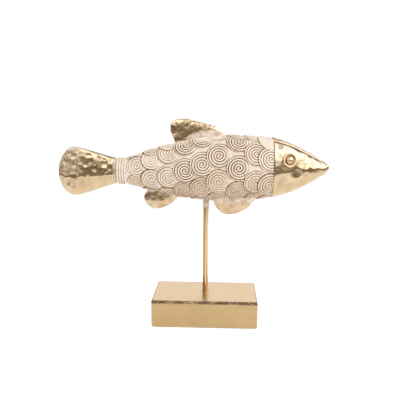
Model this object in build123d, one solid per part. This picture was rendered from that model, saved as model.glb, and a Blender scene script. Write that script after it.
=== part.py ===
from build123d import *
import os
from math import cos, radians, sin, sqrt

# A cast fish ornament on a rod and a block.
# X runs along the fish with the nose at +X, Y across it, Z up. The origin is on the rod's axis,
# in the plane that the block stands on. The fish's left side is +Y. Lengths are in millimetres.

# Clearances
glue_gap = 0.1
running_gap = 0.05
overrun = 2.0

# Block: a timber core in folded brass sheet, with felt under it
base_length = 112.0
base_depth = 62.0
base_height = 30.0
sheet_thickness = 0.6
sheet_corner_radius = 2.0
sheet_hole_gap = 0.3
hem_width = 6.0
felt_thickness = 1.0
felt_margin = 2.5
felt_corner_radius = 3.0

# Rod, and the screw that draws it down onto the core
rod_diameter = 6.0
rod_insertion = 26.0
screw_pocket_depth = 9.0
screw_pocket_diameter = 16.0
screw_web = 5.0
screw_diameter = 4.0
screw_head_diameter = 8.0
screw_head_height = 2.6
screw_head_rounding = 0.9
screw_engagement = 10.0
screw_end_space = 1.0
screw_slot_width = 1.2
screw_slot_depth = 1.2
washer_diameter = 12.0
washer_thickness = 1.0

# Ferrule in the belly that takes the rod's top, and the boss cast round it
ferrule_wall = 1.5
ferrule_cap = 1.5
ferrule_recess = 0.4
boss_wall = 4.0

# Fish body, measured from the rod's axis
fish_axis_height = 167.0
tail_reach = 92.0
neck_reach = 69.0
body_height = 68.0
body_thickness = 48.0
body_wall = 5.0

# Body stations from tail to neck. The place is a share of tail_reach behind the rod and of
# neck_reach ahead of it. Then come shares of body_height and of body_thickness, and the rise of
# the station's centre above the fish's axis as a share of body_height.
body_station_shares = {
    "tail_end": (-1.000, 0.368, 0.360, -0.065),
    "wrist": (-0.848, 0.441, 0.425, -0.056),
    "loin": (-0.674, 0.594, 0.550, -0.053),
    "vent": (-0.457, 0.753, 0.700, -0.047),
    "flank": (-0.217, 0.882, 0.854, -0.026),
    "rod": (0.000, 0.965, 0.954, -0.015),
    "chest": (0.406, 1.000, 1.000, -0.007),
    "nape": (0.725, 0.953, 0.967, 0.000),
    "neck": (1.000, 0.888, 0.896, 0.009),
}
hollow_body_stations = ("vent", "flank", "rod", "chest", "nape", "neck")

# Round scales, laid like shingles: each stands up at its tail edge and runs into the skin at its head
# edge. A column gives its place as a share of tail_reach or neck_reach, its share of scale_radius, and
# angles up the flank from -90 under the belly to 90 on the back. Scales off the middle are on both flanks.
scale_radius = 13.0
scale_rise = 1.0
scale_fade = 0.1
scale_root_depth = 9.0
scale_columns = {
    "wrist": (-0.783, 0.80, (-90, -50, 19, 75)),
    "loin": (-0.609, 0.89, (-90, -22, 36, 90)),
    "vent": (-0.418, 0.94, (-70, -13, 46, 90)),
    "flank": (-0.228, 0.985, (-90, -48, 0, 59)),
    "rod": (-0.038, 1.00, (-90, -36, 11, 72)),
    "breast": (0.196, 1.00, (-68, -20, 26, 90)),
    "chest": (0.486, 1.00, (-90, -42, 4, 57, 90)),
    "nape": (0.739, 0.985, (-74, -24, 30, 90)),
    "neck": (0.920, 0.92, (-90, -32, 20, 70)),
}

# Head cap
head_length = 58.0
head_step = 0.6
head_wall = 4.0
spigot_length = 8.0
spigot_wall = 3.0

# Head stations from neck to nose: shares of head_length, of the rim's height and thickness, and of
# the rim's height for the rise above the neck's centre.
head_station_shares = {
    "rim": (0.000, 1.000, 1.000, -0.006),
    "cheek": (0.265, 0.836, 0.820, -0.012),
    "snout": (0.565, 0.580, 0.570, -0.014),
    "muzzle": (0.840, 0.284, 0.290, -0.007),
    "lips": (0.950, 0.154, 0.150, 0.000),
    "nose": (1.000, 0.066, 0.070, 0.012),
}
hollow_head_stations = ("cheek", "snout")

# Raised crest along the top of the head: shares of its size and rise at the stations it crosses
crest_width = 10.0
crest_depth = 7.6
crest_rise = 1.3
crest_shares = {
    "rim": (1.00, 1.00),
    "cheek": (0.88, 1.00),
    "snout": (0.73, 0.85),
    "muzzle": (0.52, 0.60),
    "lips": (0.34, 0.35),
}

# Eyes: a ring and a bead in a round seat on each cheek
eye_ring_diameter = 15.4
eye_ring_width = 2.2
eye_ring_height = 2.6
eye_ring_rounding = 0.9
eye_bead_diameter = 9.4
eye_seat_depth = 1.1
eye_rise = 10.2
eye_tilt_angle = 14.0
eye_turn_angle = 17.0

# Tail fin, with a peg into the body's end
tail_length = 64.0
tail_height = 50.0
tail_drop = 1.2
tail_root_thickness = 15.5
tail_peg_diameter = 8.0
tail_peg_length = 16.0

# Tail stations from root to widest place, and from there to the tip: shares of tail_length,
# tail_height, tail_root_thickness and, for the fall of the station's centre, tail_drop
tail_blade_shares = (
    (0.000, 0.480, 1.00, 0.0),
    (0.170, 0.600, 0.80, 0.3),
    (0.450, 0.830, 0.68, 0.7),
    (0.700, 0.985, 0.62, 1.0),
)
tail_end_shares = (
    (0.700, 0.985, 0.62, 1.0),
    (0.755, 0.995, 0.60, 1.1),
    (0.810, 0.955, 0.57, 1.3),
    (0.870, 0.840, 0.52, 1.7),
    (0.930, 0.655, 0.44, 2.0),
    (0.970, 0.430, 0.34, 2.2),
    (1.000, 0.100, 0.16, 2.4),
)

# Beaded collar round the joint of tail and body
collar_bead_pitch = 2.5
collar_bead_radius_share = 0.55
collar_bead_count = 3
collar_wall = 0.9
collar_overhang = 2.0
collar_profile_shares = (-1.0, -0.6, 0.0, 0.6, 1.0)

# Dorsal fin: outline shares run back from its front along dorsal_length, and up its height
dorsal_front_reach = 22.0
dorsal_sink = 1.8
dorsal_length = 60.0
dorsal_height = 20.0
dorsal_thickness = 6.0
dorsal_edge_radius = 2.2
dorsal_tenon_length = 34.0
dorsal_tenon_thickness = 3.6
dorsal_tenon_height = 12.0
dorsal_tenon_foot = 2.2
dorsal_tenon_place_share = 0.48
dorsal_outline_shares = (
    (-0.02, -0.15),
    (0.06, 0.23),
    (0.20, 0.545),
    (0.40, 0.775),
    (0.58, 0.915),
    (0.76, 1.000),
    (0.89, 0.955),
    (0.985, 0.720),
    (0.995, 0.420),
    (0.940, -0.050),
    (0.880, -0.450),
)

# Paired fins, splayed from the flanks, each with two pegs. Outline shares run back from the front
# end along the fin's length, and down its depth. Peg shares run along its length.
paired_fin_thickness = 5.2
paired_fin_edge_radius = 1.9
paired_fin_peg_diameter = 3.0
paired_fin_peg_length = 15.0
paired_fin_peg_foot = 6.0

pelvic_front_reach = 53.0
pelvic_length = 47.5
pelvic_depth = 17.3
pelvic_sink = 2.5
pelvic_offset_share = 0.36
pelvic_splay_angle = 3.0
pelvic_peg_shares = (0.36, 0.66)
pelvic_outline_shares = (
    (0.05, -0.45),
    (0.00, -0.145),
    (0.13, 0.34),
    (0.33, 0.80),
    (0.56, 0.985),
    (0.73, 0.925),
    (0.86, 0.66),
    (0.955, 0.11),
    (0.93, -0.45),
)

anal_front_reach = -27.5
anal_length = 38.0
anal_depth = 16.2
anal_sink = 1.2
anal_offset_share = 0.25
anal_splay_angle = 3.0
anal_peg_shares = (0.34, 0.60)
anal_outline_shares = (
    (0.10, -0.55),
    (0.01, -0.03),
    (0.12, 0.36),
    (0.42, 0.84),
    (0.63, 0.99),
    (0.79, 0.91),
    (0.92, 0.655),
    (0.985, 0.29),
    (0.90, -0.12),
    (0.66, -0.55),
)


def upright_cylinder(diameter, low, high):
    """A cylinder on the Z axis between two heights."""
    base = Cylinder(diameter / 2, high - low, align=(Align.CENTER, Align.CENTER, Align.MIN))
    return Pos(0, 0, low) * base


def upright_block(length, depth, low, high):
    """A block centred on the Z axis between two heights."""
    base = Box(length, depth, high - low, align=(Align.CENTER, Align.CENTER, Align.MIN))
    return Pos(0, 0, low) * base


def oval(x, z, half_height, half_thickness):
    """An upright ellipse across the fish."""
    plane = Plane(origin=(x, 0, z), x_dir=(0, 1, 0), z_dir=(1, 0, 0))
    return plane * Ellipse(half_thickness, half_height)


def oval_loft(stations, growth=0):
    """A loft through stations of place, centre height, half height and half thickness."""
    return loft([oval(x, z, tall + growth, wide + growth) for x, z, tall, wide in stations])


def body_station(name):
    place, tall, wide, rise = body_station_shares[name]
    reach = neck_reach if place > 0 else tail_reach
    centre = fish_axis_height + rise * body_height
    return place * reach, centre, tall * body_height / 2, wide * body_thickness / 2


def head_station(name):
    place, tall, wide, rise = head_station_shares[name]
    x, z, half_height, half_thickness = body_station("neck")
    rim_height = half_height + head_step
    rim_thickness = half_thickness + head_step
    centre = z + rise * 2 * rim_height
    return x + place * head_length, centre, tall * rim_height, wide * rim_thickness


def tail_station(shares):
    place, tall, wide, fall = shares
    x, z, _, _ = body_station("tail_end")
    centre = z - fall * tail_drop
    return x - place * tail_length, centre, tall * tail_height / 2, wide * tail_root_thickness / 2


def body_form(growth=0):
    return oval_loft([body_station(name) for name in body_station_shares], growth)


def head_form(growth=0):
    return oval_loft([head_station(name) for name in head_station_shares], growth)


def tail_form(growth=0):
    blade = oval_loft([tail_station(shares) for shares in tail_blade_shares], growth)
    return blade + oval_loft([tail_station(shares) for shares in tail_end_shares], growth)


# Heights on the rod's axis
core_floor = felt_thickness + sheet_thickness + glue_gap
core_top = base_height - sheet_thickness - glue_gap
pocket_ceiling = core_floor + screw_pocket_depth
rod_seat = pocket_ceiling + screw_web
_, body_centre, body_half_height, _ = body_station("rod")
belly_height = body_centre - body_half_height
back_height = body_centre + body_half_height
rod_top = belly_height + rod_insertion
ferrule_top = rod_top + glue_gap + ferrule_cap

# Diameters on the rod's axis
ferrule_bore = rod_diameter + 2 * glue_gap
ferrule_diameter = ferrule_bore + 2 * ferrule_wall
ferrule_seat_diameter = ferrule_diameter + 2 * glue_gap
boss_diameter = ferrule_seat_diameter + 2 * boss_wall
screw_hole_diameter = screw_diameter + 2 * glue_gap

# What the body takes up, with the gap that the pieces glued to it keep
body_space = body_form(glue_gap)


def make_base_core():
    inset = sheet_thickness + glue_gap
    core = upright_block(base_length - 2 * inset, base_depth - 2 * inset, core_floor, core_top)
    core = fillet(core.edges(), sheet_corner_radius - inset)
    core -= upright_cylinder(rod_diameter + 2 * running_gap, rod_seat, core_top + overrun)
    core -= upright_cylinder(screw_hole_diameter, pocket_ceiling - overrun, rod_seat + overrun)
    return core - upright_cylinder(screw_pocket_diameter, core_floor - overrun, pocket_ceiling)


def make_base_cladding():
    """Sheet round the whole block, open inside a hem on the underside."""
    outside = upright_block(base_length, base_depth, felt_thickness, base_height)
    outside = fillet(outside.edges(), sheet_corner_radius)
    inside_length = base_length - 2 * sheet_thickness
    inside_depth = base_depth - 2 * sheet_thickness
    inside_floor = felt_thickness + sheet_thickness
    inside = upright_block(inside_length, inside_depth, inside_floor, base_height - sheet_thickness)
    inside = fillet(inside.edges(), sheet_corner_radius - sheet_thickness)
    window_length = base_length - 2 * hem_width
    window_depth = base_depth - 2 * hem_width
    window = upright_block(window_length, window_depth, felt_thickness - overrun, inside_floor + overrun)
    rod_hole = upright_cylinder(rod_diameter + 2 * sheet_hole_gap, core_top - overrun, base_height + overrun)
    return outside - inside - window - rod_hole


def make_base_felt():
    length = base_length - 2 * felt_margin
    depth = base_depth - 2 * felt_margin
    return extrude(RectangleRounded(length, depth, felt_corner_radius), felt_thickness)


def make_support_rod():
    rod = upright_cylinder(rod_diameter, rod_seat, rod_top)
    thread_top = rod_seat + screw_engagement + screw_end_space
    return rod - upright_cylinder(screw_diameter + 2 * running_gap, rod_seat - overrun, thread_top)


def make_rod_washer():
    low = pocket_ceiling - washer_thickness
    washer = upright_cylinder(washer_diameter, low, pocket_ceiling)
    return washer - upright_cylinder(screw_hole_diameter, low - overrun, pocket_ceiling + overrun)


def make_rod_screw():
    """A slotted pan-head screw, head down."""
    shoulder = pocket_ceiling - washer_thickness
    head_floor = shoulder - screw_head_height
    head = upright_cylinder(screw_head_diameter, head_floor, shoulder)
    head = fillet(head.edges().group_by(Axis.Z)[0], screw_head_rounding)
    slot_length = screw_head_diameter + overrun
    head -= upright_block(slot_length, screw_slot_width, head_floor - overrun, head_floor + screw_slot_depth)
    return head + upright_cylinder(screw_diameter, shoulder, rod_seat + screw_engagement)


def make_rod_ferrule():
    low = belly_height + ferrule_recess
    ferrule = upright_cylinder(ferrule_diameter, low, ferrule_top)
    return ferrule - upright_cylinder(ferrule_bore, low - overrun, rod_top + glue_gap)


def body_between(x):
    """Centre height, half height and half thickness of the body between its stations."""
    stations = [body_station(name) for name in body_station_shares]
    for before, after in zip(stations, stations[1:]):
        if x <= after[0]:
            break
    share = (x - before[0]) / (after[0] - before[0])
    return [low + share * (high - low) for low, high in zip(before[1:], after[1:])]


def scale_skin(x, radius):
    """The body as it is over a column of scales, grown more at their tail edge than at their head edge."""
    stations = []
    for name in body_station_shares:
        place, centre, tall, wide = body_station(name)
        lift = (x + radius - place) / (2 * radius)
        growth = scale_fade + (scale_rise - scale_fade) * lift
        stations.append((place, centre, tall + growth, wide + growth))
    return oval_loft(stations)


def scale_plug(x, radius, angle, side):
    """A round plug through the skin where a scale sits."""
    centre, tall, wide = body_between(x)
    turn = radians(angle)
    place = Vector(x, side * wide * cos(turn), centre + tall * sin(turn))
    outward = Vector(0, side * cos(turn) / wide, sin(turn) / tall)
    return Plane(origin=place, x_dir=(1, 0, 0), z_dir=outward) * upright_cylinder(
        2 * radius, -scale_root_depth, scale_root_depth
    )


def body_scales():
    """All scales of a column in one piece, for each column."""
    columns = []
    for place_share, radius_share, angles in scale_columns.values():
        x = place_share * (neck_reach if place_share > 0 else tail_reach)
        radius = radius_share * scale_radius
        plugs = []
        for angle in angles:
            sides = (-1, 1) if abs(angle) < 90 else (1,)
            plugs.extend(scale_plug(x, radius, angle, side) for side in sides)
        columns.append(scale_skin(x, radius) & (plugs[0] + plugs[1:]))
    return columns


def make_body_shell():
    """The cast body, hollow ahead of its tail and open at the neck, with sockets for what it carries."""
    hollow_stations = [body_station(name) for name in hollow_body_stations]
    x, z, half_height, half_thickness = hollow_stations[-1]
    hollow_stations[-1] = (x + glue_gap, z, half_height, half_thickness)
    hollow = oval_loft(hollow_stations, -body_wall)
    hollow -= upright_cylinder(boss_diameter, belly_height - overrun, ferrule_top + glue_gap + boss_wall)
    seat = upright_cylinder(ferrule_seat_diameter, belly_height - overrun, ferrule_top + glue_gap)
    cuts = [hollow, seat, tail_peg(glue_gap), dorsal_tenon(glue_gap), dorsal_plate(glue_gap) - body_form()]
    for fin in (pelvic_fin, anal_fin):
        for side in (-1, 1):
            cuts.extend(paired_fin_pegs(fin, side, glue_gap))
            cuts.append(paired_fin_plate(fin, side, glue_gap) - body_form())
    return body_form() + body_scales() - cuts


def make_head_cap():
    """The hollow head, with a spigot that plugs into the neck and round seats for the eyes."""
    x, z, half_height, half_thickness = body_station("neck")
    plug_height = half_height - body_wall - glue_gap
    plug_thickness = half_thickness - body_wall - glue_gap
    bore_height = plug_height - spigot_wall
    bore_thickness = plug_thickness - spigot_wall
    plug_start = x - spigot_length
    cap = head_form() + extrude(oval(plug_start, z, plug_height, plug_thickness), spigot_length + glue_gap)
    cap -= extrude(oval(plug_start - overrun, z, bore_height, bore_thickness), spigot_length + overrun)
    hollow = [(x - glue_gap, z, bore_height, bore_thickness)]
    for name in hollow_head_stations:
        place, centre, tall, wide = head_station(name)
        hollow.append((place, centre, tall - head_wall, wide - head_wall))
    cap -= oval_loft(hollow)
    seat_diameter = eye_ring_diameter + 2 * glue_gap
    for side in (-1, 1):
        cap -= eye_plane(side) * upright_cylinder(seat_diameter, 0, eye_ring_height + overrun)
    return cap


def make_head_crest():
    """A tapered bead along the top of the head, cut to sit on it."""
    rings = []
    for name, (size_share, rise_share) in crest_shares.items():
        x, z, half_height, _ = head_station(name)
        half_depth = crest_depth / 2 * size_share
        centre = z + half_height + crest_rise * rise_share - half_depth
        rings.append(oval(x, centre, half_depth, crest_width / 2 * size_share))
    pieces = loft(rings) - head_form(glue_gap)
    return pieces.solids().sort_by(Axis.Z)[-1]


def eye_plane(side):
    """Floor of an eye's seat, facing out of the cheek. The side is -1 on the right and 1 on the left."""
    x, z, half_height, half_thickness = head_station("cheek")
    cheek = half_thickness * sqrt(1 - (eye_rise / half_height) ** 2)
    tilt = radians(eye_tilt_angle)
    turn = radians(eye_turn_angle)
    outward = Vector(sin(turn) * cos(tilt), side * cos(turn) * cos(tilt), sin(tilt))
    return Plane(origin=Vector(x, side * cheek, z + eye_rise) - outward * eye_seat_depth, z_dir=outward)


def make_eye_ring(side):
    ring = upright_cylinder(eye_ring_diameter, 0, eye_ring_height)
    ring -= upright_cylinder(eye_ring_diameter - 2 * eye_ring_width, -overrun, eye_ring_height + overrun)
    ring = fillet(ring.edges().group_by(Axis.Z)[-1], eye_ring_rounding)
    return eye_plane(side) * ring


def make_eye_bead(side):
    bead = Sphere(eye_bead_diameter / 2) & upright_cylinder(eye_bead_diameter, 0, eye_bead_diameter)
    return eye_plane(side) * bead


def tail_peg(growth):
    """The tail's peg, started inside its root, or its socket."""
    x, z, _, _ = body_station("tail_end")
    plane = Plane(origin=(x - overrun, 0, z), z_dir=(1, 0, 0))
    return extrude(plane * Circle(tail_peg_diameter / 2 + growth), overrun + tail_peg_length + growth)


def make_tail_fin():
    return tail_form() + tail_peg(0)


def make_tail_collar():
    """Rings of beads over the joint, as oval as the body's end and cut to sit on it and on the tail."""
    x, z, half_height, half_thickness = body_station("tail_end")
    ridge = half_height + collar_wall
    flattening = (half_thickness + collar_wall) / ridge
    bead_radius = collar_bead_pitch * collar_bead_radius_share
    first_bead = x - collar_overhang + bead_radius
    collar = Part()
    for index in range(collar_bead_count):
        stations = []
        for share in collar_profile_shares:
            place = first_bead + index * collar_bead_pitch + share * bead_radius
            half_size = ridge + bead_radius * sqrt(1 - share**2)
            stations.append((place, z, half_size, half_size * flattening))
        collar += oval_loft(stations)
    return collar - body_space - tail_form(glue_gap)


def fin_plate(points, thickness, edge_radius):
    """A plate in the XZ plane with a smooth outline, closed along its root, and rounded edges."""
    outline = make_face([Spline(*points), Line(points[-1], points[0])])
    plate = extrude(Plane.XZ * outline, thickness / 2, both=True)
    broad_faces = plate.faces().filter_by(Axis.Y)
    return fillet(broad_faces.edges().filter_by(GeomType.BSPLINE), edge_radius)


def dorsal_tenon(growth):
    """The dorsal fin's tenon, or its slot."""
    length = dorsal_tenon_length + 2 * growth
    thickness = dorsal_tenon_thickness + 2 * growth
    top = back_height + dorsal_tenon_foot
    x = dorsal_front_reach - dorsal_tenon_place_share * dorsal_length
    return Pos(x, 0, 0) * upright_block(length, thickness, top - dorsal_tenon_height - growth, top + growth)


def dorsal_plate(growth):
    """The dorsal fin's plate before it is cut to the back, or the notch for it among the scales."""
    base = back_height - dorsal_sink
    length = dorsal_length + 2 * growth
    points = [
        (dorsal_front_reach + growth - back * length, base + up * dorsal_height)
        for back, up in dorsal_outline_shares
    ]
    return fin_plate(points, dorsal_thickness + 2 * growth, dorsal_edge_radius)


def make_dorsal_fin():
    return dorsal_plate(0) - body_space + dorsal_tenon(0)


pelvic_fin = {
    "station": "chest",
    "front": pelvic_front_reach,
    "length": pelvic_length,
    "depth": pelvic_depth,
    "sink": pelvic_sink,
    "offset_share": pelvic_offset_share,
    "splay_angle": pelvic_splay_angle,
    "peg_shares": pelvic_peg_shares,
    "outline_shares": pelvic_outline_shares,
}
anal_fin = {
    "station": "vent",
    "front": anal_front_reach,
    "length": anal_length,
    "depth": anal_depth,
    "sink": anal_sink,
    "offset_share": anal_offset_share,
    "splay_angle": anal_splay_angle,
    "peg_shares": anal_peg_shares,
    "outline_shares": anal_outline_shares,
}


def paired_fin_place(fin, side):
    """Where a fin's root line lies: just inside the flank, turned so that the fin splays outwards."""
    _, z, half_height, half_thickness = body_station(fin["station"])
    offset = fin["offset_share"] * half_thickness
    flank = z - half_height * sqrt(1 - fin["offset_share"] ** 2)
    return Pos(0, side * offset, flank + fin["sink"]) * Rot(side * fin["splay_angle"], 0, 0)


def paired_fin_pegs(fin, side, growth):
    """A fin's two pegs, or their holes."""
    pegs = []
    for share in fin["peg_shares"]:
        x = fin["front"] - share * fin["length"]
        top = paired_fin_peg_length - paired_fin_peg_foot
        peg = upright_cylinder(paired_fin_peg_diameter + 2 * growth, -paired_fin_peg_foot - growth, top + growth)
        pegs.append(paired_fin_place(fin, side) * Pos(x, 0, 0) * peg)
    return pegs


def paired_fin_plate(fin, side, growth):
    """A paired fin's plate before it is cut to the flank, or the notch for it among the scales."""
    length = fin["length"] + 2 * growth
    points = [
        (fin["front"] + growth - back * length, -down * fin["depth"])
        for back, down in fin["outline_shares"]
    ]
    plate = fin_plate(points, paired_fin_thickness + 2 * growth, paired_fin_edge_radius)
    return paired_fin_place(fin, side) * plate


def make_paired_fin(fin, side):
    plate = paired_fin_plate(fin, side, 0) - body_space
    for peg in paired_fin_pegs(fin, side, 0):
        plate += peg
    return plate


nodes = {
    "base_core": make_base_core(),
    "base_cladding": make_base_cladding(),
    "base_felt": make_base_felt(),
    "support_rod": make_support_rod(),
    "rod_washer": make_rod_washer(),
    "rod_screw": make_rod_screw(),
    "rod_ferrule": make_rod_ferrule(),
    "body_shell": make_body_shell(),
    "head_cap": make_head_cap(),
    "head_crest": make_head_crest(),
    "tail_fin": make_tail_fin(),
    "tail_collar": make_tail_collar(),
    "dorsal_fin": make_dorsal_fin(),
}
for side_name, side in (("right", -1), ("left", 1)):
    nodes["eye_ring_" + side_name] = make_eye_ring(side)
    nodes["eye_bead_" + side_name] = make_eye_bead(side)
    nodes["pelvic_fin_" + side_name] = make_paired_fin(pelvic_fin, side)
    nodes["anal_fin_" + side_name] = make_paired_fin(anal_fin, side)

os.makedirs("parts", exist_ok=True)
for name, shape in nodes.items():
    solids = shape.solids()
    print(name, "solids", len(solids), "valid", shape.is_valid, "volume", round(shape.volume))
    export_step(shape, "parts/" + name + ".step")
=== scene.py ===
import math
from functools import partial
import bpy
import bmesh
import numpy as np
from mathutils import Matrix, Vector


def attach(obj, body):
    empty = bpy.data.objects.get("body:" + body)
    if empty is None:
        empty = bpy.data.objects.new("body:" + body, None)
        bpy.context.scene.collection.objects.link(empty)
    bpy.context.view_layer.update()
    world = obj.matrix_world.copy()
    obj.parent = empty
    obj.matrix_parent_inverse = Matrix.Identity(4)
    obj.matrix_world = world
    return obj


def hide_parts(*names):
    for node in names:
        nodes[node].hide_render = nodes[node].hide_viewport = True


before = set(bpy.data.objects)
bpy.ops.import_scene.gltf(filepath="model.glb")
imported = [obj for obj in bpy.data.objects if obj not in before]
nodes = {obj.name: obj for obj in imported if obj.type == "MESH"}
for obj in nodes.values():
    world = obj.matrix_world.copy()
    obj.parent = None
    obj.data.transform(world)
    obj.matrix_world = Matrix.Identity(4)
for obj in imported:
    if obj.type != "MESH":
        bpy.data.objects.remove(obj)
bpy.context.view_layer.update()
mm = 0.001
mergeGap = 0.004  # mm, points closer than this become one
print("frame loaded:", len(nodes), "nodes")


def linearColour(hexValue):  # sRGB hex to linear RGBA
    channels = [int(hexValue[i:i + 2], 16) / 255 for i in (1, 3, 5)]
    return [c / 12.92 if c <= 0.04045 else ((c + 0.055) / 1.055) ** 2.4 for c in channels] + [1.0]


def addNode(tree, kind, inputs=None, stops=None, **settings):  # an input is a value, a socket or a node
    node = tree.nodes.new(kind)
    for name, value in settings.items():
        setattr(node, name, value)
    for key, source in (inputs or {}).items():
        if isinstance(source, bpy.types.Node):
            source = source.outputs[0]
        if isinstance(source, bpy.types.NodeSocket):
            tree.links.new(source, node.inputs[key])
        else:
            node.inputs[key].default_value = source
    if stops:  # places and hex colours of a ramp
        marks = node.color_ramp.elements
        while len(marks) < len(stops):
            marks.new(0.5)
        for mark, (place, hexValue) in zip(marks, stops):
            mark.position = place
            mark.color = linearColour(hexValue)
    return node


def ramp(values, start, full, least=0.0):  # rises evenly from start to full, and stays there
    return np.clip((values - start) / (full - start), least, 1)


def bell(values, middle, width):  # 1 at the middle, soft to both sides
    return np.exp(-(((values - middle) / width) ** 2))


def smoothAlong(places, values, at):  # cubic curve through given stations
    places, values, at = np.array(places, float), np.array(values, float), np.asarray(at, float)
    slopes = np.gradient(values, places)
    cell = np.clip(np.searchsorted(places, at) - 1, 0, len(places) - 2)
    span = places[cell + 1] - places[cell]
    t = (at - places[cell]) / span
    keep = 2 * t**3 - 3 * t**2 + 1
    lead = (t**3 - 2 * t**2 + t) * span
    trail = (t**3 - t**2) * span
    near = keep * values[cell] + lead * slopes[cell]
    return near + (1 - keep) * values[cell + 1] + trail * slopes[cell + 1]


def smoothPath(points, count):  # evenly spaced points on a smooth curve through given ones
    points = np.array(points, float)
    chords = np.concatenate([[0], np.cumsum(np.linalg.norm(np.diff(points, axis=0), axis=1))])
    at = np.linspace(0, chords[-1], count)
    return np.stack([smoothAlong(chords, points[:, k], at) for k in range(points.shape[1])], axis=1)


def addObject(name, data):
    made = bpy.data.objects.new(name, data)
    bpy.context.scene.collection.objects.link(made)
    return made


def closedMesh(name, vertices, faces):  # a merged, outward-facing, smooth mesh in metres
    mesh = bpy.data.meshes.new(name)
    mesh.from_pydata([tuple(v) for v in np.asarray(vertices) * mm], [], faces)
    work = bmesh.new()
    work.from_mesh(mesh)
    bmesh.ops.remove_doubles(work, verts=work.verts, dist=mergeGap * mm)
    bmesh.ops.recalc_face_normals(work, faces=work.faces)
    work.to_mesh(mesh)
    work.free()
    for polygon in mesh.polygons:
        polygon.use_smooth = True
    return addObject(name, mesh)


def gridFaces(first, rows, columns, closed):  # quads between rows of points that run round or end
    faces = []
    for i in range(rows - 1):
        low, high = first + i * columns, first + (i + 1) * columns
        for j in range(columns if closed else columns - 1):
            k = (j + 1) % columns
            faces.append((low + j, low + k, high + k, high + j))
    return faces


def fanFaces(first, around, tip):  # triangles from a ring to one point
    return [(first + j, first + (j + 1) % around, tip) for j in range(around)]


def ringSkin(name, rings):  # rings of points, skinned and closed at both ends
    count, around = rings.shape[:2]
    vertices = rings.reshape(-1, 3).tolist()
    faces = gridFaces(0, count, around, True)
    for end in (0, count - 1):
        faces.extend(fanFaces(end * around, around, len(vertices)))
        vertices.append(rings[end].mean(axis=0).tolist())
    return closedMesh(name, vertices, faces)


def ovalRings(x, centre, tall, wide, around):  # upright ovals across the fish
    angle = np.linspace(0, 2 * math.pi, around, endpoint=False)
    rings = np.zeros((len(x), around, 3))
    rings[:, :, 0] = np.asarray(x)[:, None]
    rings[:, :, 1] = -np.outer(wide, np.cos(angle))
    rings[:, :, 2] = (np.zeros(len(x)) + centre)[:, None] + np.outer(tall, np.sin(angle))
    return rings


def storeOnPoints(piece, name, values):
    layer = piece.data.attributes.new(name, "FLOAT", "POINT")
    count = len(piece.data.vertices)
    layer.data.foreach_set("value", np.zeros(count, np.float32) + np.asarray(values, np.float32))


def pointsOf(piece):  # vertex places in millimetres
    places = np.zeros(len(piece.data.vertices) * 3, np.float32)
    piece.data.vertices.foreach_get("co", places)
    return places.reshape(-1, 3) / mm


def runTree(piece, tree, spec, others):  # evaluates a node tree once and keeps its plain mesh
    modifier = piece.modifiers.new("shape", "NODES")
    modifier.node_group = tree
    for item in tree.interface.items_tree:
        key = item.name[0].lower() + item.name[1:].replace(" ", "")  # Dent Size is dentSize in the dictionary
        if item.name in others:
            modifier[item.identifier] = others[item.name]
        elif key in spec:
            modifier[item.identifier] = spec[key] * mm
    depsgraph = bpy.context.evaluated_depsgraph_get()
    made = bpy.data.meshes.new_from_object(
        piece.evaluated_get(depsgraph), preserve_all_data_layers=True, depsgraph=depsgraph
    )
    piece.modifiers.remove(modifier)
    plain = piece.data
    piece.data = made
    bpy.data.meshes.remove(plain)


def dress(piece, body, node):  # the piece stands for a node and moves with its body
    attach(piece, body)
    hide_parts(node)
    print("made:", piece.name)


# Materials

def startMaterial(name):  # the material, and what adds nodes to it
    material = bpy.data.materials.new(name)
    material.use_nodes = True
    material.node_tree.nodes.clear()
    return material, partial(addNode, material.node_tree)


def finishMaterial(add, colour, metal, rough, relief, height, others=None):  # a relief of so many mm
    bump = add("ShaderNodeBump", {"Height": relief, "Distance": height * mm})
    inputs = {"Base Color": colour, "Metallic": metal, "Roughness": rough, "Normal": bump, **(others or {})}
    shader = add("ShaderNodeBsdfPrincipled", inputs)
    add("ShaderNodeOutputMaterial", {"Surface": shader})


def sprayCover(add, wash, ragged, spec):  # where sprayed cream has taken, with a ragged edge
    ragged = add("ShaderNodeMath", {0: ragged, 1: spec["raggedLift"]}, operation="ADD")
    spread = add("ShaderNodeMath", {0: wash, 1: ragged}, operation="MULTIPLY")
    return add("ShaderNodeMapRange", {
        "Value": spread, "From Min": spec["creamFrom"], "From Max": spec["creamFull"],
    }, interpolation_type="SMOOTHSTEP")


whitewashSpec = {
    "patch": 26, "brush": 3.4, "grit": 0.7, "gritHeight": 0.12,  # mm
    "uneven": 0.35,  # how far patches and brush marks move the cover
    # the dark end of this ramp is painted shade: groove bottoms, each scale's tail-ward rim and the crease
    # outside it
    "crowns": ((0.0, "#513A22"), (0.3, "#7A5C39"), (0.5, "#BBA084"), (0.7, "#DBCBB9"), (1.0, "#F3EADF")),
    "bareFull": 0.2, "bareFrom": 0.5, "bareMetal": 0.9,  # cover at which the gold shows through
    "creamRough": 0.55, "bareRough": -0.25,
}


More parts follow.
